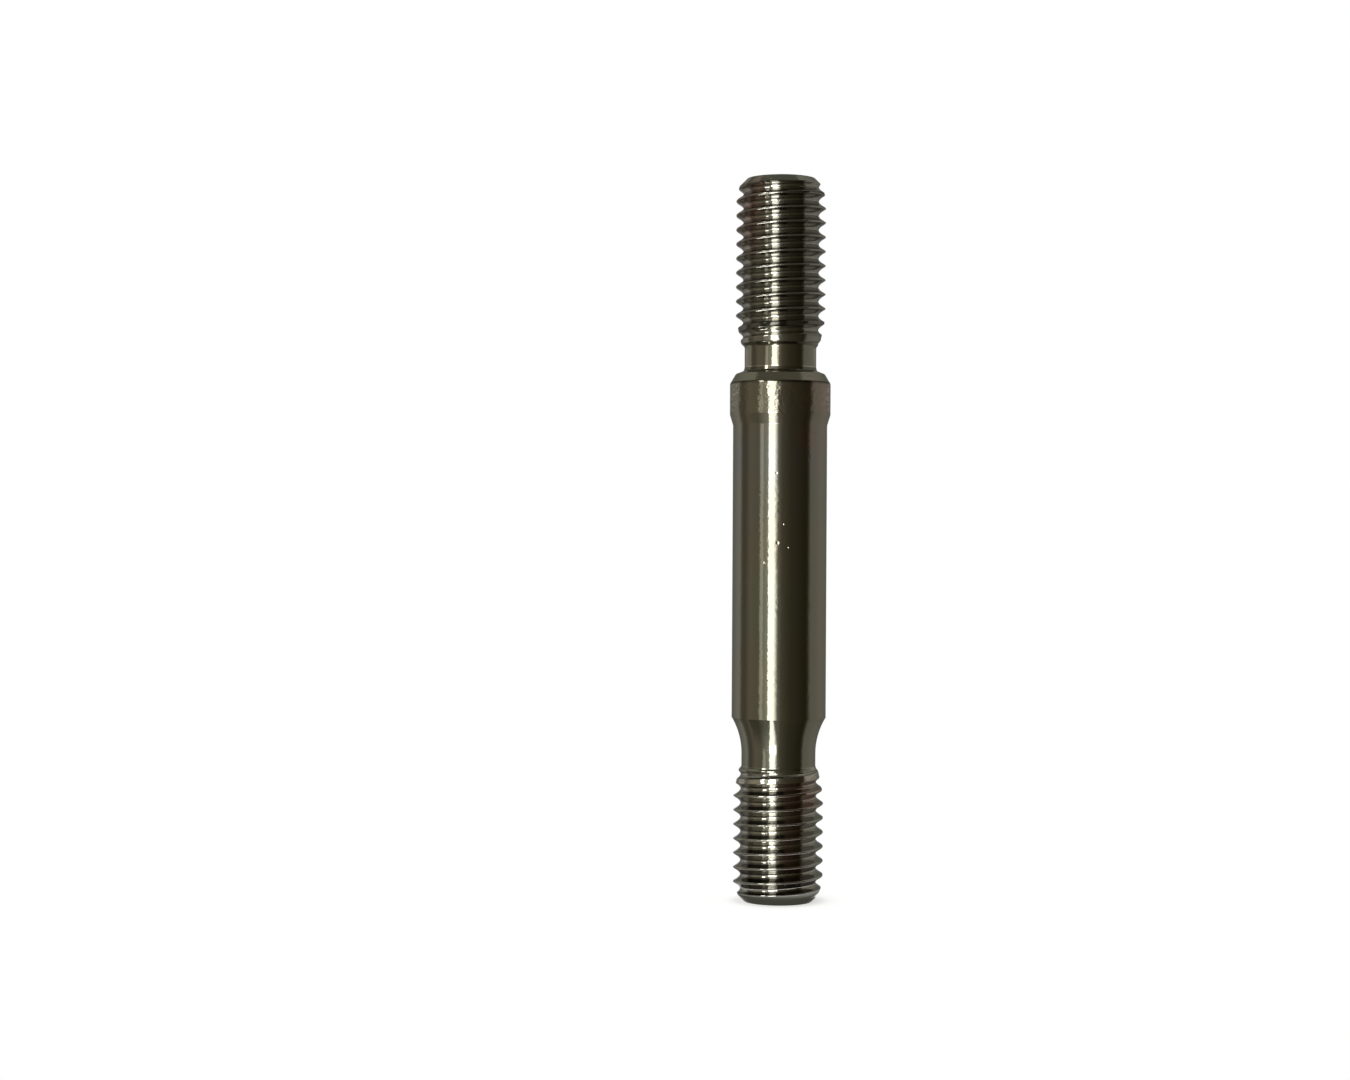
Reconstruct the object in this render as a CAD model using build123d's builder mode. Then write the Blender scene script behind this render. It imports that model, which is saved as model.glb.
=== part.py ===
from build123d import *
import math
import os

# A double-ended stud bolt, turned from one bar and threaded at both ends.
# From the bottom up: a short threaded end, a neck, a hollow-curved shoulder, the plain shank,
# a slightly larger collar, a second neck and a long threaded end.
# Millimetres. +Z runs up the axis, and the origin is the centre of the lower end face.

# Thread, the same at both ends: M8 coarse, right-hand, with pointed crests and wide roots
thread_major_diameter = 7.88
thread_root_diameter = 6.58
thread_pitch = 1.25
flank_half_angle = 30
lower_thread_length = 11.75
upper_thread_length = 14.73
# angle about +Z, from +X, at which the crest of each thread would come out over its neck
lower_thread_angle = 15
upper_thread_angle = 283

# Ends: a flat face, a 45 degree chamfer and a slim lead-in cone up to the full crest
end_face_diameter = 5.98
lower_end_chamfer = 0.53
lower_lead_in_length = 1.10
upper_end_chamfer = 0.68
upper_lead_in_length = 1.30

# Thread run-out: the crest sinks in a slim cone, then drops at 45 degrees into the neck
runout_length = 2.30
runout_height = 0.17

# Necks, each turned a little deeper than the root of its thread
lower_neck_length = 1.15
lower_neck_undercut = 0.05
upper_neck_length = 2.03
upper_neck_undercut = 0.155

# Shank, and the hollow curve that leads to it from the lower neck
shank_diameter = 8.24
shank_length = 25.49
cove_radius = 6.10

# Collar: a taper up from the shank, a plain band, a chamfer and a shallow cone as its shoulder
collar_diameter = 8.82
collar_length = 2.72
collar_taper_angle = 17
collar_chamfer_width = 0.50
collar_chamfer_length = 0.84
shoulder_angle = 21

# Radii
major_radius = thread_major_diameter / 2
root_radius = thread_root_diameter / 2
shank_radius = shank_diameter / 2
collar_radius = collar_diameter / 2
end_face_radius = end_face_diameter / 2
thread_depth = major_radius - root_radius
runout_radius = root_radius + runout_height
lower_neck_radius = root_radius - lower_neck_undercut
upper_neck_radius = root_radius - upper_neck_undercut

# The turned form stands just clear of the crests, which the flanks alone bring to a point.
crest_clearance = thread_pitch / 32
turned_radius = major_radius + crest_clearance

# Heights, stacked from the lower end face
cove_foot = lower_thread_length + lower_neck_length
cove_rise = shank_radius - lower_neck_radius
shank_foot = cove_foot + math.sqrt(cove_radius**2 - (cove_radius - cove_rise) ** 2)
shank_top = shank_foot + shank_length
taper_length = (collar_radius - shank_radius) / math.tan(math.radians(collar_taper_angle))
collar_foot = shank_top + taper_length
collar_top = collar_foot + collar_length
shoulder_radius = collar_radius - collar_chamfer_width
shoulder_foot = collar_top + collar_chamfer_length
shoulder_rise = (shoulder_radius - upper_neck_radius) * math.tan(math.radians(shoulder_angle))
upper_neck_foot = shoulder_foot + shoulder_rise
upper_neck_top = upper_neck_foot + upper_neck_length
overall_length = upper_neck_top + upper_thread_length


def threaded_end(face_height, inward, chamfer, lead_in, length, neck_radius):
    """Outline of one end's turned form, from the axis at its face to the neck. inward is 1 for up, -1 for down."""
    drop = runout_radius - neck_radius
    steps = [
        (0, 0),
        (end_face_radius, 0),
        (end_face_radius + chamfer, chamfer),
        (turned_radius, chamfer + lead_in),
        (turned_radius, length - drop - runout_length),
        (runout_radius, length - drop),
        (neck_radius, length),
    ]
    return [(radius, face_height + inward * step) for radius, step in steps]


lower_end = threaded_end(
    0, 1, lower_end_chamfer, lower_lead_in_length, lower_thread_length, lower_neck_radius
)
upper_end = threaded_end(
    overall_length, -1, upper_end_chamfer, upper_lead_in_length, upper_thread_length, upper_neck_radius
)

# One turn of the thread: a pointed ridge whose base is sunk a little into the core
ridge_sink = thread_pitch / 16
ridge_half_base = (thread_depth + ridge_sink) * math.tan(math.radians(flank_half_angle))
with BuildPart() as ridge_turn:
    with BuildLine() as turn_path:
        Helix(pitch=thread_pitch, height=thread_pitch, radius=root_radius)
    ridge_plane = Plane(origin=turn_path.line @ 0, x_dir=(1, 0, 0), z_dir=turn_path.line % 0)
    with BuildSketch(ridge_plane):
        with BuildLine():
            Polyline(
                (-ridge_sink, -ridge_half_base),
                (thread_depth, 0),
                (-ridge_sink, ridge_half_base),
                close=True,
            )
        make_face()
    sweep(path=turn_path.line, is_frenet=True)

# Each ridge starts half a pitch out over its neck and runs off past the end face.
past_neck = thread_pitch / 2
lower_turns = math.ceil((lower_thread_length + past_neck) / thread_pitch) + 1
upper_turns = math.ceil((upper_thread_length + past_neck) / thread_pitch) + 1
lower_turn_heights = [
    lower_thread_length + past_neck - (turn + 1) * thread_pitch for turn in range(lower_turns)
]
upper_turn_heights = [upper_neck_top - past_neck + turn * thread_pitch for turn in range(upper_turns)]

core_bottom = lower_turn_heights[-1] - thread_pitch
core_top = upper_turn_heights[-1] + 2 * thread_pitch
bar_bottom = (lower_thread_length + cove_foot) / 2
bar_top = (upper_neck_foot + upper_neck_top) / 2

with BuildPart() as stud_bolt:
    # the core of both threads, and the thicker bar between the two necks
    with BuildSketch(Plane.XY.offset(core_bottom)):
        Circle(root_radius)
    extrude(amount=core_top - core_bottom)
    with BuildSketch(Plane.XY.offset(bar_bottom)):
        Circle(collar_radius + crest_clearance)
    extrude(amount=bar_top - bar_bottom)

    # both threads, turn by turn
    with Locations(*[(0, 0, height) for height in lower_turn_heights]):
        add(ridge_turn.part, rotation=(0, 0, lower_thread_angle))
    with Locations(*[(0, 0, height) for height in upper_turn_heights]):
        add(ridge_turn.part, rotation=(0, 0, upper_thread_angle))

    # the turned form, which trims the lot
    with BuildSketch(Plane.XZ):
        with BuildLine():
            Polyline(*lower_end, (lower_neck_radius, cove_foot))
            TangentArc((lower_neck_radius, cove_foot), (shank_radius, shank_foot), tangent=(0, 1))
            Polyline(
                (shank_radius, shank_foot),
                (shank_radius, shank_top),
                (collar_radius, collar_foot),
                (collar_radius, collar_top),
                (shoulder_radius, shoulder_foot),
                (upper_neck_radius, upper_neck_foot),
                *reversed(upper_end),
            )
            Line((0, overall_length), (0, 0))
        make_face()
    revolve(axis=Axis.Z, mode=Mode.INTERSECT)

stud_bolt.part.label = "stud_bolt"

os.makedirs("parts", exist_ok=True)
export_step(stud_bolt.part, "parts/stud_bolt.step")

print(f"overall length {overall_length:.3f} mm, thread root diameter {2 * root_radius:.3f} mm")
print(f"shank {shank_foot:.2f} to {shank_top:.2f}, collar {collar_foot:.2f} to {collar_top:.2f}")
print(f"upper neck {upper_neck_foot:.2f} to {upper_neck_top:.2f}")
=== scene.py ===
"""The looks of the double-ended stud bolt: polished steel with two rolled threads, on a pale floor.

Metres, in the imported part's frame: +Z up the axis, the lower end face on the floor, and the camera on
the -Y side.
"""

import math
from types import SimpleNamespace

import bmesh
import bpy
import numpy as np
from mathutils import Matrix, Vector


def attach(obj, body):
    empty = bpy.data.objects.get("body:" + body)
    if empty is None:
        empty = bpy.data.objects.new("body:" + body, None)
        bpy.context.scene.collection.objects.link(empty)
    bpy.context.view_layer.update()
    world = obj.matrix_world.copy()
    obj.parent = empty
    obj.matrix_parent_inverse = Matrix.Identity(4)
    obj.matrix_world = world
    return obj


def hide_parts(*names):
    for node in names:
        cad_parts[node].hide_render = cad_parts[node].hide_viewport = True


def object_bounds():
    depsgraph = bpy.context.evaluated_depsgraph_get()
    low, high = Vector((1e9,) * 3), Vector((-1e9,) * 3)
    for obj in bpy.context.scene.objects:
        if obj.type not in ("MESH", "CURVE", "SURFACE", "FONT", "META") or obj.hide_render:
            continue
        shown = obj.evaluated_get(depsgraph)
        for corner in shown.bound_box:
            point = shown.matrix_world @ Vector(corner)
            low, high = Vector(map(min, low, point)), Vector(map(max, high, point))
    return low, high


MM = 0.001

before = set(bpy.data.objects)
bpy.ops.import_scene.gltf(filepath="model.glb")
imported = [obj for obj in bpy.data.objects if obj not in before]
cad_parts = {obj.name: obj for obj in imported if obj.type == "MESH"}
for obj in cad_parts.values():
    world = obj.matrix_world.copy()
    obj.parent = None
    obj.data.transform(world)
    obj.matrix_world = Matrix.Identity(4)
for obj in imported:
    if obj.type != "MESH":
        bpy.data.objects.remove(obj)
cad_low, cad_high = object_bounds()
top = cad_high.z
scene = bpy.context.scene


# ---------------------------------------------------------------- sizes of the stud

thread_pitch = 1.25 * MM
major_radius = 3.94 * MM
root_radius = 3.29 * MM
flank_half_angle = math.radians(30)
root_rounding = 0.40 * MM
crest_rounding = 0.07 * MM
trim_rounding = 0.07 * MM
runout_length = 2.30 * MM
runout_radius = root_radius + 0.17 * MM
# angle about +Z, from +X, at which the crest of each thread would come out over its neck
lower_thread_angle = 15
upper_thread_angle = 283

end_face_radius = 2.99 * MM
lower_chamfer, lower_lead_in = 0.53 * MM, 1.10 * MM
upper_chamfer, upper_lead_in = 0.68 * MM, 1.30 * MM

lower_neck_radius = root_radius - 0.05 * MM
upper_neck_radius = root_radius - 0.155 * MM
# the flare at the foot of the upper neck: its reach, and how far it runs down and up
upper_neck_flare = 0.10 * MM
flare_sink, flare_height = 0.04 * MM, 0.22 * MM
shank_radius = 4.12 * MM
collar_radius = min(-cad_low.x, -cad_low.y, cad_high.x, cad_high.y)
collar_taper_angle = math.radians(17)
shoulder_radius = collar_radius - 0.50 * MM
cove_radius = 6.10 * MM

lower_neck_foot = 11.75 * MM
cove_foot = lower_neck_foot + 1.15 * MM
cove_sweep = math.acos(1 - (shank_radius - lower_neck_radius) / cove_radius)
shank_foot = cove_foot + cove_radius * math.sin(cove_sweep)
shank_top = shank_foot + 25.49 * MM
collar_foot = shank_top + (collar_radius - shank_radius) / math.tan(collar_taper_angle)
collar_top = collar_foot + 2.72 * MM
shoulder_foot = collar_top + 0.84 * MM
upper_neck_top = top - 14.73 * MM
upper_neck_foot = upper_neck_top - 2.03 * MM

# height of each thread's crest where it crosses the +X side
lower_crest_height = lower_neck_foot + thread_pitch / 2 - thread_pitch * lower_thread_angle / 360
upper_crest_height = upper_neck_top - thread_pitch / 2 - thread_pitch * upper_thread_angle / 360

# how finely the mesh is divided: round the axis, along the cove and round each rounded corner
columns = 120
cove_points = 16
arc_step = math.radians(8)
# how far beyond a rounded corner its outermost points may lie
longest_guard = 0.025 * MM
# how far the rows that follow a thread run on over its neck
thread_overrun = 0.5 * MM
# radii of the rings over an end face, as shares of the face's
end_ring_shares = np.linspace(0, 0.97, 10)
weld_distance = 0.0001 * MM
# where the rows of the thread stand from one crest to the middle of the root, closer at the bends
crest_to_root = np.array([0, 0.02, 0.045, 0.075, 0.11, 0.15, 0.20, 0.26, 0.32, 0.38, 0.45, 0.53]) * MM
row_places = np.concatenate([crest_to_root, [thread_pitch / 2], thread_pitch - crest_to_root[:0:-1]])


# ---------------------------------------------------------------- the turned outline


def arc_points(before, corner, after, blend):
    """The rounding of one corner of the outline, as points on an arc of radius blend."""
    before, corner, after = (np.array(p) for p in (before, corner, after))
    into = (before - corner) / np.linalg.norm(before - corner)
    out = (after - corner) / np.linalg.norm(after - corner)
    half_opening = math.acos(float(np.clip(into @ out, -1, 1))) / 2
    reach = blend / math.tan(half_opening)
    centre = corner + (into + out) / np.linalg.norm(into + out) * blend / math.sin(half_opening)
    start, end = corner + into * reach - centre, corner + out * reach - centre
    turn = math.pi - 2 * half_opening
    steps = max(3, math.ceil(turn / arc_step))
    shares = np.linspace(0, 1, steps + 1)
    bow = [(math.sin((1 - s) * turn) * start + math.sin(s * turn) * end) / math.sin(turn) for s in shares]
    # one more point on each side keeps the flat stretches flat when they are shaded
    guard = min(blend / 4, longest_guard)
    return [corner + into * (reach + guard), *(centre + b for b in bow), corner + out * (reach + guard)]


def outline_corners():
    """Radius, height and rounding of each corner, from the lower end face to the upper one."""
    lower_drop = runout_radius - lower_neck_radius
    upper_drop = runout_radius - upper_neck_radius
    cove = [
        (lower_neck_radius + cove_radius * (1 - math.cos(a)), cove_foot + cove_radius * math.sin(a), 0)
        for a in np.linspace(0, cove_sweep, cove_points)[:-1]
    ]
    return [
        (end_face_radius, 0, 0),
        (end_face_radius + lower_chamfer, lower_chamfer, 0.10 * MM),
        (major_radius, lower_chamfer + lower_lead_in, 0.30 * MM),
        (major_radius, lower_neck_foot - lower_drop - runout_length, 0.50 * MM),
        (runout_radius, lower_neck_foot - lower_drop, 0.20 * MM),
        (lower_neck_radius, lower_neck_foot, 0.30 * MM),
        *cove,
        (shank_radius, shank_foot, 0.04 * MM),
        (shank_radius, shank_top, 0.40 * MM),
        (collar_radius, collar_foot, 0.40 * MM),
        (collar_radius, collar_top, 0.40 * MM),
        (shoulder_radius, shoulder_foot, 0.25 * MM),
        (upper_neck_radius + upper_neck_flare, upper_neck_foot - flare_sink, 0.04 * MM),
        (upper_neck_radius, upper_neck_foot + flare_height, 0.50 * MM),
        (upper_neck_radius, upper_neck_top, 0.30 * MM),
        (runout_radius, upper_neck_top + upper_drop, 0.20 * MM),
        (major_radius, upper_neck_top + upper_drop + runout_length, 0.50 * MM),
        (major_radius, top - upper_chamfer - upper_lead_in, 0.30 * MM),
        (end_face_radius + upper_chamfer, top - upper_chamfer, 0.30 * MM),
        (end_face_radius, top, 0),
    ]


def outline():
    """Radius and height along the unthreaded blank, from the lower end face to the upper one."""
    corners = outline_corners()
    points = [corners[0][:2]]
    for before, (radius, height, blend), after in zip(corners, corners[1:], corners[2:]):
        if blend:
            points += arc_points(before[:2], (radius, height), after[:2], blend)
        else:
            points.append((radius, height))
    points.append(corners[-1][:2])
    return np.array(points)


blank = outline()


def blank_radius(heights):
    return np.interp(heights, blank[:, 1], blank[:, 0])


# ---------------------------------------------------------------- the stud's mesh


def smooth_min(a, b, rounding):
    """The smaller of a and b, with the corner where they cross rounded off."""
    share = np.clip(0.5 + 0.5 * (b - a) / rounding, 0, 1)
    return b + (a - b) * share - rounding * share * (1 - share)


def threaded_rows(low, high, crest_height):
    """Radius and height of rows that follow the thread, squeezed against a ring at each end."""
    climb = thread_pitch * np.arange(columns) / columns
    first = crest_height + thread_pitch * (math.floor((low - crest_height) / thread_pitch) - 1)
    turn_count = math.ceil((high - first) / thread_pitch) + 1
    rows = (first + thread_pitch * np.arange(turn_count)[:, None] + row_places).reshape(-1, 1)
    heights = np.clip(rows + climb, low, high)
    turns = (heights - crest_height - climb) / thread_pitch
    from_crest = np.abs(turns - np.round(turns)) * thread_pitch
    # both flanks meet in a narrow rounded crest and run out into a wide rounded root
    blunted = np.sqrt(from_crest**2 + crest_rounding**2) - crest_rounding
    flank = major_radius - blunted / math.tan(flank_half_angle)
    ridge = -smooth_min(-flank, -root_radius, root_rounding)
    return smooth_min(ridge, blank_radius(heights), trim_rounding), heights


def plain_rows(low, high):
    """Radius and height of plain rings, one at each point of the outline between the two heights."""
    inside = blank[(blank[:, 1] > low) & (blank[:, 1] < high)]
    return np.repeat(inside[:, :1], columns, axis=1), np.repeat(inside[:, 1:], columns, axis=1)


def end_rows(height, shares):
    """Rings over an end face. shares are their radii as shares of the face's."""
    radii = np.repeat(shares[:, None] * end_face_radius, columns, axis=1)
    return radii, np.full_like(radii, height)


def stretches():
    """The rows of each stretch of the stud, with how many rows up its last column meets its first."""
    lower_thread_end = lower_neck_foot + thread_overrun
    upper_thread_start = upper_neck_top - thread_overrun
    return [
        (end_rows(0, end_ring_shares), 0),
        (threaded_rows(0, lower_thread_end, lower_crest_height), row_places.size),
        (plain_rows(lower_thread_end, upper_thread_start), 0),
        (threaded_rows(upper_thread_start, top, upper_crest_height), row_places.size),
        (end_rows(top, end_ring_shares[::-1]), 0),
    ]


def row_corners(radii, heights):
    """The vertices of a stretch's rows."""
    angles = 2 * math.pi * np.arange(columns) / columns
    return np.stack([radii * np.cos(angles), radii * np.sin(angles), heights], axis=-1).reshape(-1, 3)


def row_faces(here, shift):
    """Faces between the rows of one stretch. here holds the numbers of its vertices, row by row."""
    beside = np.roll(here, -1, axis=1)
    if shift:
        beside[:-shift, -1] = here[shift:, 0]
        beside[-shift:, -1] = here[-1, 0]
    return np.stack([here[:-1], beside[:-1], beside[1:], here[1:]], axis=-1).reshape(-1, 4)


def ring_faces(below, above):
    """Faces between the last row of one stretch and the first row of the next."""
    return np.stack([below, np.roll(below, -1), np.roll(above, -1), above], axis=-1)


def weld(mesh):
    """Join the vertices that lie in one place, where the rows of a thread are squeezed together."""
    welded = bmesh.new()
    welded.from_mesh(mesh)
    bmesh.ops.remove_doubles(welded, verts=welded.verts, dist=weld_distance)
    welded.to_mesh(mesh)
    welded.free()


def stud_mesh():
    """The whole stud as rows of vertices round the axis, from the middle of one end face to the other's."""
    vertices, faces, count, below = [], [], 0, None
    for (radii, heights), shift in stretches():
        vertices.append(row_corners(radii, heights))
        here = count + np.arange(radii.size).reshape(radii.shape)
        count += radii.size
        if below is not None:
            faces.append(ring_faces(below, here[0]))
        faces.append(row_faces(here, shift))
        below = here[-1]
    mesh = bpy.data.meshes.new("stud_bolt_skin")
    mesh.from_pydata(np.concatenate(vertices).tolist(), [], np.concatenate(faces).tolist())
    weld(mesh)
    mesh.shade_smooth()
    return mesh


# ---------------------------------------------------------------- shader helpers


def grey(value):
    return (value, value, value, 1)


class Nodes:
    """Short names for building one node tree."""

    def __init__(self, tree):
        self.tree = tree
        tree.nodes.clear()

    def fill(self, socket, value):
        """Link another node's output to a socket, or give it a plain value."""
        if isinstance(value, bpy.types.NodeSocket):
            self.tree.links.new(value, socket)
        else:
            socket.default_value = value

    def add(self, kind, inputs=(), **settings):
        made = self.tree.nodes.new(kind)
        for name, value in settings.items():
            setattr(made, name, value)
        for name, value in dict(inputs).items():
            self.fill(made.inputs[name], value)
        return made

    def math(self, operation, *values):
        return self.add("ShaderNodeMath", dict(enumerate(values)), operation=operation).outputs[0]

    def product(self, first, *others):
        for other in others:
            first = self.math("MULTIPLY", first, other)
        return first

    def vector(self, operation, inputs):
        return self.add("ShaderNodeVectorMath", inputs, operation=operation).outputs[0]

    def spread(self, value, start, end, at_start, at_end):
        """at_start where value is at start, at_end at end, and in between in proportion."""
        inputs = {"Value": value, "From Min": start, "From Max": end, "To Min": at_start, "To Max": at_end}
        return self.add("ShaderNodeMapRange", inputs).outputs["Result"]

    def smooth(self, value, start, end):
        """0 where value is at start, 1 at end, with soft shoulders."""
        inputs = {"Value": value, "From Min": start, "From Max": end}
        made = self.add("ShaderNodeMapRange", inputs, interpolation_type="SMOOTHSTEP")
        return made.outputs["Result"]

    def band(self, value, start, full, fading, end):
        """1 between full and fading, and 0 below start and above end."""
        return self.product(self.smooth(value, start, full), self.smooth(value, end, fading))

    def noise(self, vector, scale, detail=2.0, roughness=0.5):
        inputs = {"Vector": vector, "Scale": scale, "Detail": detail, "Roughness": roughness}
        return self.add("ShaderNodeTexNoise", inputs).outputs["Fac"]

    def mix(self, share, first, second):
        """Two colours, mixed. The colour sockets of the Mix node have no names of their own."""
        made = self.add("ShaderNodeMix", data_type="RGBA")
        for socket, value in ((0, share), (6, first), (7, second)):
            self.fill(made.inputs[socket], value)
        return made.outputs[2]


# ---------------------------------------------------------------- polished steel

# Heights and radii in this section are in millimetres. A pair gives where a place begins and where it
# is full, and four of them also give where it starts to fade and where it ends.
lower_thread_edge = (11.7, 11.3)
upper_thread_edge = (48.4, 48.8)
# heights of the painted shade on the slope of the upper run-out
runout_rows = (48.2, 48.3, 48.8, 48.9)
collar_rows = (42.2, 42.8, 45.2, 45.6)
# heights of the painted shade, a dark line round the collar's top edge
collar_rim_rows = (45.02, 45.12, 45.26, 45.36)
# radii of the painted shade beside the crests of the lower and upper threads
lower_painted_line_radii = (3.40, 3.48, 3.80, 3.87)
upper_painted_line_radii = (3.54, 3.62, 3.82, 3.88)
crest_radii = (3.84, 3.90)

olive_steel = (0.49, 0.495, 0.435, 1)
yellow_steel = (0.515, 0.485, 0.41, 1)
cool_steel = (0.49, 0.485, 0.485, 1)
# lighter steel on the threads: painted light that brightens the highlights between their flanks
lower_thread_lit_steel = (0.68, 0.67, 0.635, 1)
upper_thread_lit_steel = (0.57, 0.56, 0.53, 1)
brown_stain = (0.60, 0.48, 0.45, 1)
# colours of the painted shade
painted_dark_shade = (0.05, 0.048, 0.042, 1)
painted_foot_shade = (0.050, 0.051, 0.036, 1)

# how much of the steel's own colour is hidden in each place: on the threads by a lighter steel that paints
# light into their grooves, by the stain, and elsewhere by painted shade
thread_lit_steel_share = 0.90
stain_share = 0.80
runout_painted_share = 0.40
painted_crest_line_share = 0.94
collar_rim_painted_share = 0.60
near_floor_painted_share = 0.75
foot_painted_share = 0.90

# roughness
smoothest, dullest = 0.045, 0.085
crest_dulling = 0.10

# how strongly each kind of unevenness shows, and how the grain differs from place to place
marks_strength = 0.16
ripple_strength = 0.9
pits_strength = 0.8
grain_strength = 5.0
least_grain = 0.35
lower_thread_grain = 2.4
upper_thread_grain = 1.2
collar_grain = 3.2

# small nicks in the front of the shank: distance to the right of the axis, height, radius and depth
nicks = [
    (-0.45, 37.3, 0.13, 0.012),
    (0.12, 32.9, 0.12, 0.020),
    (-0.34, 31.3, 0.20, 0.016),
    (0.52, 30.9, 0.13, 0.030),
    (-1.42, 29.6, 0.16, 0.018),
]
# depth for 1 of relief
bump_depth = 0.0015


def stud_spot(nodes):
    """Where a point of the stud lies, how far its surface faces up and how far it is on a thread."""
    spot = SimpleNamespace()
    place = nodes.add("ShaderNodeTexCoord").outputs["Object"]
    spot.place = nodes.vector("SCALE", {0: place, "Scale": 1 / MM})
    parts = nodes.add("ShaderNodeSeparateXYZ", {0: spot.place}).outputs
    spot.across, spot.deep, spot.height = parts["X"], parts["Y"], parts["Z"]
    squares = [nodes.product(spot.across, spot.across), nodes.product(spot.deep, spot.deep)]
    spot.radius = nodes.math("SQRT", nodes.math("ADD", *squares))
    normal = nodes.add("ShaderNodeNewGeometry").outputs["Normal"]
    spot.facing = nodes.add("ShaderNodeSeparateXYZ", {0: normal}).outputs["Z"]
    spot.on_lower_thread = nodes.smooth(spot.height, *lower_thread_edge)
    spot.on_upper_thread = nodes.smooth(spot.height, *upper_thread_edge)
    spot.on_threads = nodes.math("ADD", spot.on_lower_thread, spot.on_upper_thread)
    return spot


def bare_tint(nodes, spot):
    """Olive steel that drifts to yellow and to a cool grey, lighter on the threads, which is painted light
    that brightens their grooves.
    """
    yellow = nodes.smooth(nodes.noise(spot.place, 0.11, 3.0), 0.42, 0.62)
    cool = nodes.smooth(nodes.noise(spot.place, 0.06, 2.0), 0.50, 0.66)
    tint = nodes.mix(cool, nodes.mix(yellow, olive_steel, yellow_steel), cool_steel)
    threads_lit_steel = nodes.mix(nodes.smooth(spot.height, 20, 40), lower_thread_lit_steel, upper_thread_lit_steel)
    return nodes.mix(nodes.product(spot.on_threads, thread_lit_steel_share), tint, threads_lit_steel)


def heat_stain(nodes, spot):
    """Share of the brown stain: at the right of the lower thread and of the collar, and at the upper left."""
    # near the floor the stain of the lower thread stops short of the right edge
    width = nodes.math("MAXIMUM", nodes.smooth(spot.across, 2.4, 1.9), nodes.smooth(spot.height, 7.5, 9.0))
    right = nodes.smooth(spot.across, -0.1, 0.4)
    low = nodes.product(nodes.band(spot.height, 1.0, 3.0, 10.0, 12.0), right, width)
    high = nodes.product(nodes.band(spot.height, 35.0, 41.0, 45.0, 46.5), nodes.smooth(spot.across, 0.5, 2.0))
    upmost = nodes.product(nodes.smooth(spot.height, 55.0, 58.5), nodes.smooth(spot.across, -1.4, -1.8))
    all_three = nodes.math("MAXIMUM", nodes.math("MAXIMUM", low, high), upmost)
    patches = nodes.smooth(nodes.noise(spot.place, 0.35, 2.0), 0.35, 0.55)
    return nodes.product(all_three, patches, stain_share)


def painted_crest_shade(nodes, spot):
    """Share of the painted shade that draws dark lines beside the crests of both threads, stronger to the
    left of the axis.
    """
    # on the lower thread they are in the flanks that face up, on the upper one in both
    lower_left = nodes.band(spot.across, -3.0, -2.5, 0.2, 0.6)
    lower = nodes.product(
        nodes.band(spot.radius, *lower_painted_line_radii),
        nodes.smooth(spot.facing, 0.50, 0.65),
        spot.on_lower_thread,
        nodes.math("MULTIPLY_ADD", lower_left, 0.60, 0.40),
    )
    upper_left = nodes.band(spot.across, -2.1, -1.6, 0.2, 0.6)
    upper = nodes.product(
        nodes.band(spot.radius, *upper_painted_line_radii),
        nodes.smooth(spot.height, 48.7, 49.1),
        nodes.math("MULTIPLY_ADD", upper_left, 0.54, 0.45),
    )
    return nodes.product(nodes.math("ADD", lower, upper), painted_crest_line_share)


def steel_tint(nodes, spot):
    """The steel's colour, with its stains and the places of painted shade that darken it."""
    tint = nodes.mix(heat_stain(nodes, spot), bare_tint(nodes, spot), brown_stain)
    # painted shade on the down-facing slope of the upper run-out, which hides the window's reflection there
    runout_faces_down = nodes.smooth(spot.facing, -0.45, -0.60)
    runout = nodes.product(nodes.band(spot.height, *runout_rows), runout_faces_down, runout_painted_share)
    # painted shade: a dark line round the collar's top edge
    collar_rim = nodes.product(nodes.band(spot.height, *collar_rim_rows), collar_rim_painted_share)
    # painted shade on the surfaces near the floor that face down, which dims their reflection of the pale
    # floor
    faces_floor = nodes.smooth(spot.facing, -0.15, -0.35)
    near_floor = nodes.product(nodes.smooth(spot.height, 5.0, 2.0), faces_floor, near_floor_painted_share)
    for share in (runout, painted_crest_shade(nodes, spot), collar_rim, near_floor):
        tint = nodes.mix(share, tint, painted_dark_shade)
    # painted shade on the lower end, which darkens the chamfer against its reflection of the floor
    foot = nodes.product(nodes.smooth(spot.height, 1.00, 0.60), foot_painted_share)
    return nodes.mix(foot, tint, painted_foot_shade)


def steel_finish(nodes, spot):
    """Roughness: a fine polish with slightly duller patches, and duller crests on the threads."""
    polish = nodes.spread(nodes.noise(spot.place, 1.4, 4.0, 0.6), 0, 1, smoothest, dullest)
    crests = nodes.product(spot.on_threads, nodes.smooth(spot.radius, *crest_radii))
    return nodes.math("MULTIPLY_ADD", crests, crest_dulling, polish)


def grain(nodes, spot):
    """An uneven grain: faint, stronger in patches and on the threads, and strongest on the collar."""
    patches = nodes.smooth(nodes.noise(spot.place, 0.30, 2.0), 0.44, 0.60)
    collar = nodes.band(spot.height, *collar_rows)
    # on the threads it starts a touch further over their necks than their colour does
    lower_thread = nodes.smooth(spot.height, 11.9, 11.5)
    upper_thread = nodes.product(nodes.smooth(spot.height, 48.3, 48.7), upper_thread_grain)
    rolled = nodes.math("MULTIPLY_ADD", lower_thread, lower_thread_grain, upper_thread)
    strength = nodes.math("MULTIPLY_ADD", collar, collar_grain, rolled)
    strength = nodes.math("ADD", nodes.math("ADD", patches, least_grain), strength)
    return nodes.product(nodes.noise(spot.place, 2.4, 2.0), strength, grain_strength)


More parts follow.
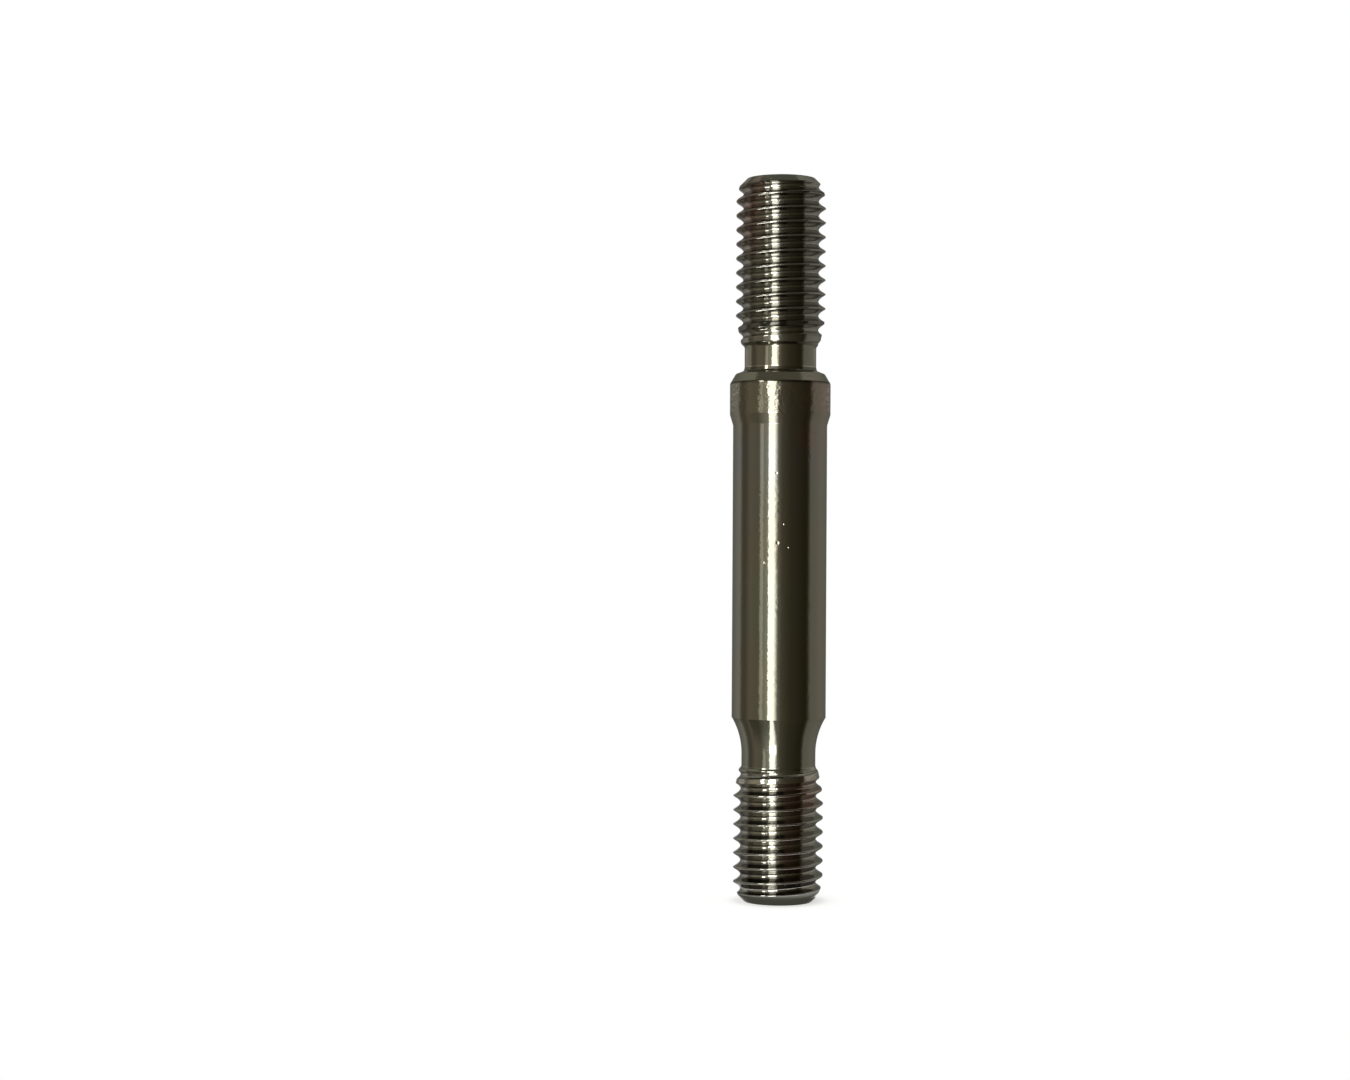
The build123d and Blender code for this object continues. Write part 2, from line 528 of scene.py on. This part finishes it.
def dent(nodes, spot, nick_across, nick_height, nick_radius, nick_depth):
    """Depth of one nick, on the front of the stud only."""
    aside = nodes.math("SUBTRACT", spot.across, nick_across)
    above = nodes.math("SUBTRACT", spot.height, nick_height)
    apart = nodes.math("SQRT", nodes.math("MULTIPLY_ADD", aside, aside, nodes.product(above, above)))
    depth = nodes.product(nodes.smooth(apart, nick_radius, 0.0), nick_depth / bump_depth)
    return nodes.product(depth, nodes.smooth(spot.deep, 0.0, -0.5))


def steel_relief(nodes, spot):
    """Turning marks round the bar, a ripple, the grain, fine pits and the nicks."""
    turned = nodes.add("ShaderNodeCombineXYZ", {"X": spot.radius, "Z": spot.height}).outputs[0]
    marks = nodes.product(nodes.noise(turned, 14.0, 3.0, 0.6), marks_strength)
    ripple = nodes.product(nodes.noise(spot.place, 1.1, 2.0), ripple_strength)
    pits = nodes.product(nodes.smooth(nodes.noise(spot.place, 5.5, 1.0), 0.70, 0.80), pits_strength)
    relief = nodes.math("ADD", nodes.math("ADD", marks, ripple), grain(nodes, spot))
    relief = nodes.math("SUBTRACT", relief, pits)
    for nick in nicks:
        relief = nodes.math("SUBTRACT", relief, dent(nodes, spot, *nick))
    return relief


def steel_material():
    material = bpy.data.materials.new("polished_steel")
    material.use_nodes = True
    nodes = Nodes(material.node_tree)
    spot = stud_spot(nodes)
    bump = {"Strength": 1.0, "Distance": bump_depth * MM, "Height": steel_relief(nodes, spot)}
    steel = nodes.add(
        "ShaderNodeBsdfPrincipled",
        {
            "Base Color": steel_tint(nodes, spot),
            "Metallic": 1.0,
            "Roughness": steel_finish(nodes, spot),
            "Specular Tint": grey(0.55),
            "Normal": nodes.add("ShaderNodeBump", bump).outputs[0],
        },
    )
    nodes.add("ShaderNodeOutputMaterial", {"Surface": steel.outputs[0]})
    return material


# ---------------------------------------------------------------- floor

floor_radius = 6.4 * MM
# radii between which a painted shadow, a slightly darker round under the stud, gives way to the rest of the
# floor
painted_floor_shadow = (3.2 * MM, 4.8 * MM)
# radii between which the floor fades to white
floor_rim = (0.55 * floor_radius, 0.97 * floor_radius)


def make_floor():
    """A pale round floor that keeps the stud's shadow, adds a painted shadow under it, and fades into the
    white backdrop at its rim.
    """
    bpy.ops.mesh.primitive_circle_add(vertices=96, radius=floor_radius, fill_type="NGON")
    floor = bpy.context.object
    floor.name = "floor"
    material = bpy.data.materials.new("pale_floor")
    material.use_nodes = True
    nodes = Nodes(material.node_tree)
    place = nodes.add("ShaderNodeTexCoord").outputs["Object"]
    reach = nodes.add("ShaderNodeVectorMath", {0: place}, operation="LENGTH").outputs["Value"]
    outside_painted_shadow = nodes.smooth(reach, *painted_floor_shadow)
    # painted shadow: the paint is darker under the stud
    colour = nodes.mix(outside_painted_shadow, grey(0.65), grey(0.8))
    paint = nodes.add("ShaderNodeBsdfDiffuse", {"Color": colour}).outputs[0]
    # painted shadow: the floor glows less under the stud
    strength = nodes.math("MULTIPLY_ADD", outside_painted_shadow, 0.13, 0.65)
    glow = nodes.add("ShaderNodeEmission", {"Color": grey(1), "Strength": strength}).outputs[0]
    lit = nodes.add("ShaderNodeAddShader", {0: paint, 1: glow}).outputs[0]
    white = nodes.add("ShaderNodeEmission", {"Color": grey(1)}).outputs[0]
    rim = nodes.smooth(reach, *floor_rim)
    surface = nodes.add("ShaderNodeMixShader", {"Fac": rim, 1: lit, 2: white}).outputs[0]
    nodes.add("ShaderNodeOutputMaterial", {"Surface": surface})
    floor.data.materials.append(material)


# ---------------------------------------------------------------- world

# The studio round the stud is a dim room with a tall strip window to the left of the camera and a thin
# one further left. Its places are given in degrees, as mirror_map says: the azimuth from the camera's
# side, positive towards +X, and the tilt, positive above eye level. Columns are azimuths and rows are
# tilts: where something begins, where it is full, where it starts to fade and where it ends.

# azimuth, and the light that the steel finds there
studio_bands = [
    (-180, (0.24, 0.24, 0.23)),
    (-116, (0.28, 0.27, 0.24)),
    (-105, (0.10, 0.09, 0.07)),
    (-94, (0.09, 0.08, 0.06)),
    (-78, (0.165, 0.143, 0.105)),
    (-56, (0.14, 0.13, 0.09)),
    (-40, (0.29, 0.28, 0.22)),
    (-31, (0.36, 0.35, 0.28)),
    (-2, (0.15, 0.14, 0.11)),
    (3, (0.092, 0.082, 0.058)),
    (14, (0.066, 0.058, 0.038)),
    (25, (0.048, 0.041, 0.026)),
    (45, (0.036, 0.030, 0.018)),
    (64, (0.024, 0.020, 0.010)),
    (71, (0.036, 0.032, 0.018)),
    (80, (0.165, 0.16, 0.135)),
    (100, (0.19, 0.18, 0.15)),
    (118, (0.23, 0.215, 0.18)),
    (180, (0.32, 0.32, 0.28)),
]
overhead_colour = (0.23, 0.23, 0.19, 1)
overhead_middle_colour = (0.105, 0.103, 0.078, 1)
underfoot_colour = (0.085, 0.083, 0.06, 1)
back_wall_colour = (0.27, 0.27, 0.25, 1)
window_colour = (1.0, 0.985, 0.90)

overhead_middle_columns = (-68, -55, 44, 58)
low_left_columns = (-84, -76, -14, -8)
low_left_loss = 0.52
light_belt_rows = (4.5, 7.5, 13, 16)
light_belt_gain = 0.8
dark_belt_rows = (14, 18, 28, 31)
dark_belt_loss = 0.30
sweep_rows = (50, 54, 63, 67)
sweep_strength = 1.5

# degrees from straight behind the stud: where the one tone of the back wall and the white backdrop
# begin, and where they are full
back_wall_cone = (34, 22)
backdrop_cone = (13, 5)

window_azimuth = -17.0
# counted from window_azimuth: the window is sharp on its left and fades on its right
window_columns = (-13.9, -11.3, -1.5, 12.5)
window_rows = (-38, -35.5, 12.5, 15.5)
window_bright_rows = (-12, -10, -6, -3.2)
window_strength = 2.1
window_extra_strength = 3.2

thin_window_columns = (-52, -50, -44, -41)
thin_window_rows = (-10, -5, 27, 29)
thin_window_bright_rows = (5, 9, 26, 29)
thin_window_strength = 0.24
thin_window_extra_strength = 3.0

# two lights that reach from the thin window to the strip window, a faint one and a strong one
between_columns = (-58, -53, -14, -8)
faint_light_rows = (12, 15, 25, 28)
faint_light_strength = 0.1
low_light_rows = (-55, -52, -40, -37)
low_light_strength = 5.0


def mirror_map(nodes, way):
    """Azimuth and tilt, in degrees, of a direction as the polished stud shows it to someone in front.

    The tilt is how far the surface that mirrors the direction faces up, and the azimuth is twice as much
    as that surface is turned to the side, which is a level direction's own azimuth.
    """
    depth = nodes.math("SUBTRACT", 1.0, way["Y"])
    flat = nodes.math("SQRT", nodes.math("MULTIPLY_ADD", depth, depth, nodes.product(way["X"], way["X"])))
    azimuth = nodes.product(nodes.math("ARCTAN2", way["X"], depth), math.degrees(2))
    tilt = nodes.product(nodes.math("ARCTAN2", way["Z"], flat), math.degrees(1))
    return azimuth, tilt


def behind(nodes, way, outer, inner):
    """1 within inner degrees of straight behind the stud, and 0 beyond outer degrees."""
    return nodes.smooth(way["Y"], math.cos(math.radians(outer)), math.cos(math.radians(inner)))


def band_ramp(nodes, azimuth):
    """The colour of studio_bands at an azimuth in degrees."""
    ramp = nodes.add("ShaderNodeValToRGB", {"Fac": nodes.math("MULTIPLY_ADD", azimuth, 1 / 360, 0.5)})
    stops = ramp.color_ramp.elements
    while len(stops) > 1:
        stops.remove(stops[-1])
    for n, (angle, colour) in enumerate(studio_bands):
        stop = stops[0] if n == 0 else stops.new(angle / 360 + 0.5)
        stop.position = angle / 360 + 0.5
        stop.color = (*colour, 1)
    return ramp.outputs["Color"]


def wall_lift(nodes, azimuth, tilt):
    """What the walls are multiplied by to make them lighter or darker than their own colours."""
    # just above eye level the side walls are lighter, and above that all walls are darker
    sides = nodes.math("ADD", nodes.smooth(azimuth, -20, -40), nodes.smooth(azimuth, 70, 78))
    light_belt = nodes.product(nodes.band(tilt, *light_belt_rows), sides)
    lift = nodes.math("MULTIPLY_ADD", light_belt, light_belt_gain, 1.0)
    lift = nodes.math("MULTIPLY_ADD", nodes.band(tilt, *dark_belt_rows), -dark_belt_loss, lift)
    # below eye level the walls behind the strip window and to its left grow darker
    low_left = nodes.product(nodes.band(azimuth, *low_left_columns), nodes.smooth(tilt, -6, -30))
    return nodes.math("MULTIPLY_ADD", low_left, -low_left_loss, lift)


def studio_walls(nodes, way, azimuth, tilt):
    """The room without its windows."""
    bands = band_ramp(nodes, azimuth)
    middle = nodes.band(azimuth, *overhead_middle_columns)
    overhead = nodes.mix(middle, overhead_colour, overhead_middle_colour)
    walls = nodes.mix(nodes.smooth(tilt, 29, 33), bands, overhead)
    walls = nodes.mix(nodes.smooth(tilt, -30, -45), walls, underfoot_colour)
    # high up and low down, a ring of the walls is lit
    sweep = nodes.band(nodes.math("ABSOLUTE", tilt), *sweep_rows)
    walls = nodes.mix(sweep, walls, nodes.vector("SCALE", {0: bands, "Scale": sweep_strength}))
    walls = nodes.vector("SCALE", {0: walls, "Scale": wall_lift(nodes, azimuth, tilt)})
    # straight behind the stud the azimuth turns over, and one tone covers that
    return nodes.mix(behind(nodes, way, *back_wall_cone), walls, back_wall_colour)


def strip_window(nodes, azimuth, tilt):
    """Light of the strip window, brightest in its upper end and in a row just below eye level."""
    # it narrows downwards, and is wide again at its very foot
    width = nodes.spread(tilt, -34.0, -12.0, 0.40, 1.0)
    width = nodes.math("MAXIMUM", width, nodes.smooth(tilt, -34.5, -36))
    from_middle = nodes.math("DIVIDE", nodes.math("SUBTRACT", azimuth, window_azimuth), width)
    shape = nodes.product(nodes.band(from_middle, *window_columns), nodes.band(tilt, *window_rows))
    bright = nodes.math("ADD", nodes.smooth(tilt, 3.2, 6), nodes.band(tilt, *window_bright_rows))
    strength = nodes.math("MULTIPLY_ADD", bright, window_extra_strength, window_strength)
    return nodes.product(shape, strength)


def thin_window(nodes, azimuth, tilt):
    """Light of the thin window: bright above eye level, faint just below it."""
    shape = nodes.product(nodes.band(azimuth, *thin_window_columns), nodes.band(tilt, *thin_window_rows))
    bright = nodes.band(tilt, *thin_window_bright_rows)
    strength = nodes.math("MULTIPLY_ADD", bright, thin_window_extra_strength, thin_window_strength)
    return nodes.product(shape, strength)


def lights_between(nodes, azimuth, tilt):
    """The two lights that reach from window to window: one low down, a faint one above eye level."""
    faint = nodes.product(nodes.band(tilt, *faint_light_rows), faint_light_strength)
    strength = nodes.math("MULTIPLY_ADD", nodes.band(tilt, *low_light_rows), low_light_strength, faint)
    return nodes.product(nodes.band(azimuth, *between_columns), strength)


def white_backdrop(nodes, way):
    """1 where the white backdrop shows: everywhere for the camera, straight behind for metal and glass."""
    path = nodes.add("ShaderNodeLightPath").outputs
    mirrored = nodes.math("MAXIMUM", path["Is Glossy Ray"], path["Is Transmission Ray"])
    mirrored_behind = nodes.product(mirrored, behind(nodes, way, *backdrop_cone))
    return nodes.math("MAXIMUM", path["Is Camera Ray"], mirrored_behind)


def make_world():
    world = bpy.data.worlds.new("studio")
    world.use_nodes = True
    nodes = Nodes(world.node_tree)
    direction = nodes.add("ShaderNodeTexCoord").outputs["Generated"]
    way = nodes.add("ShaderNodeSeparateXYZ", {0: direction}).outputs
    azimuth, tilt = mirror_map(nodes, way)
    lights = nodes.math("ADD", strip_window(nodes, azimuth, tilt), lights_between(nodes, azimuth, tilt))
    lights = nodes.math("ADD", lights, thin_window(nodes, azimuth, tilt))
    warm = nodes.vector("SCALE", {0: window_colour, "Scale": lights})
    studio = nodes.vector("ADD", {0: studio_walls(nodes, way, azimuth, tilt), 1: warm})
    room = nodes.add("ShaderNodeBackground", {"Color": studio, "Strength": 1.0}).outputs[0]
    white = nodes.add("ShaderNodeBackground", {"Color": grey(1), "Strength": 1.0}).outputs[0]
    shares = {"Fac": white_backdrop(nodes, way), 1: room, 2: white}
    both = nodes.add("ShaderNodeMixShader", shares).outputs[0]
    nodes.add("ShaderNodeOutputWorld", {"Surface": both})
    scene.world = world


# ---------------------------------------------------------------- camera


def make_camera():
    """Level with the middle of the stud, a little to its left, and rolled a touch."""
    camera = bpy.data.objects.new("camera", bpy.data.cameras.new("camera"))
    camera.data.lens = 64
    camera.data.sensor_width = 36
    camera.data.clip_start = 1 * MM
    camera.location = (-9.14 * MM, -210 * MM, 31.5 * MM)
    camera.rotation_euler = (math.pi / 2, math.radians(-0.3), 0)
    scene.collection.objects.link(camera)
    scene.camera = camera


# ---------------------------------------------------------------- the scene

stud = bpy.data.objects.new("stud_bolt_skin", stud_mesh())
scene.collection.objects.link(stud)
stud.data.materials.append(steel_material())
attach(stud, "root")
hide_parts("stud_bolt")

make_floor()
make_world()
make_camera()
scene.view_settings.view_transform = "Standard"
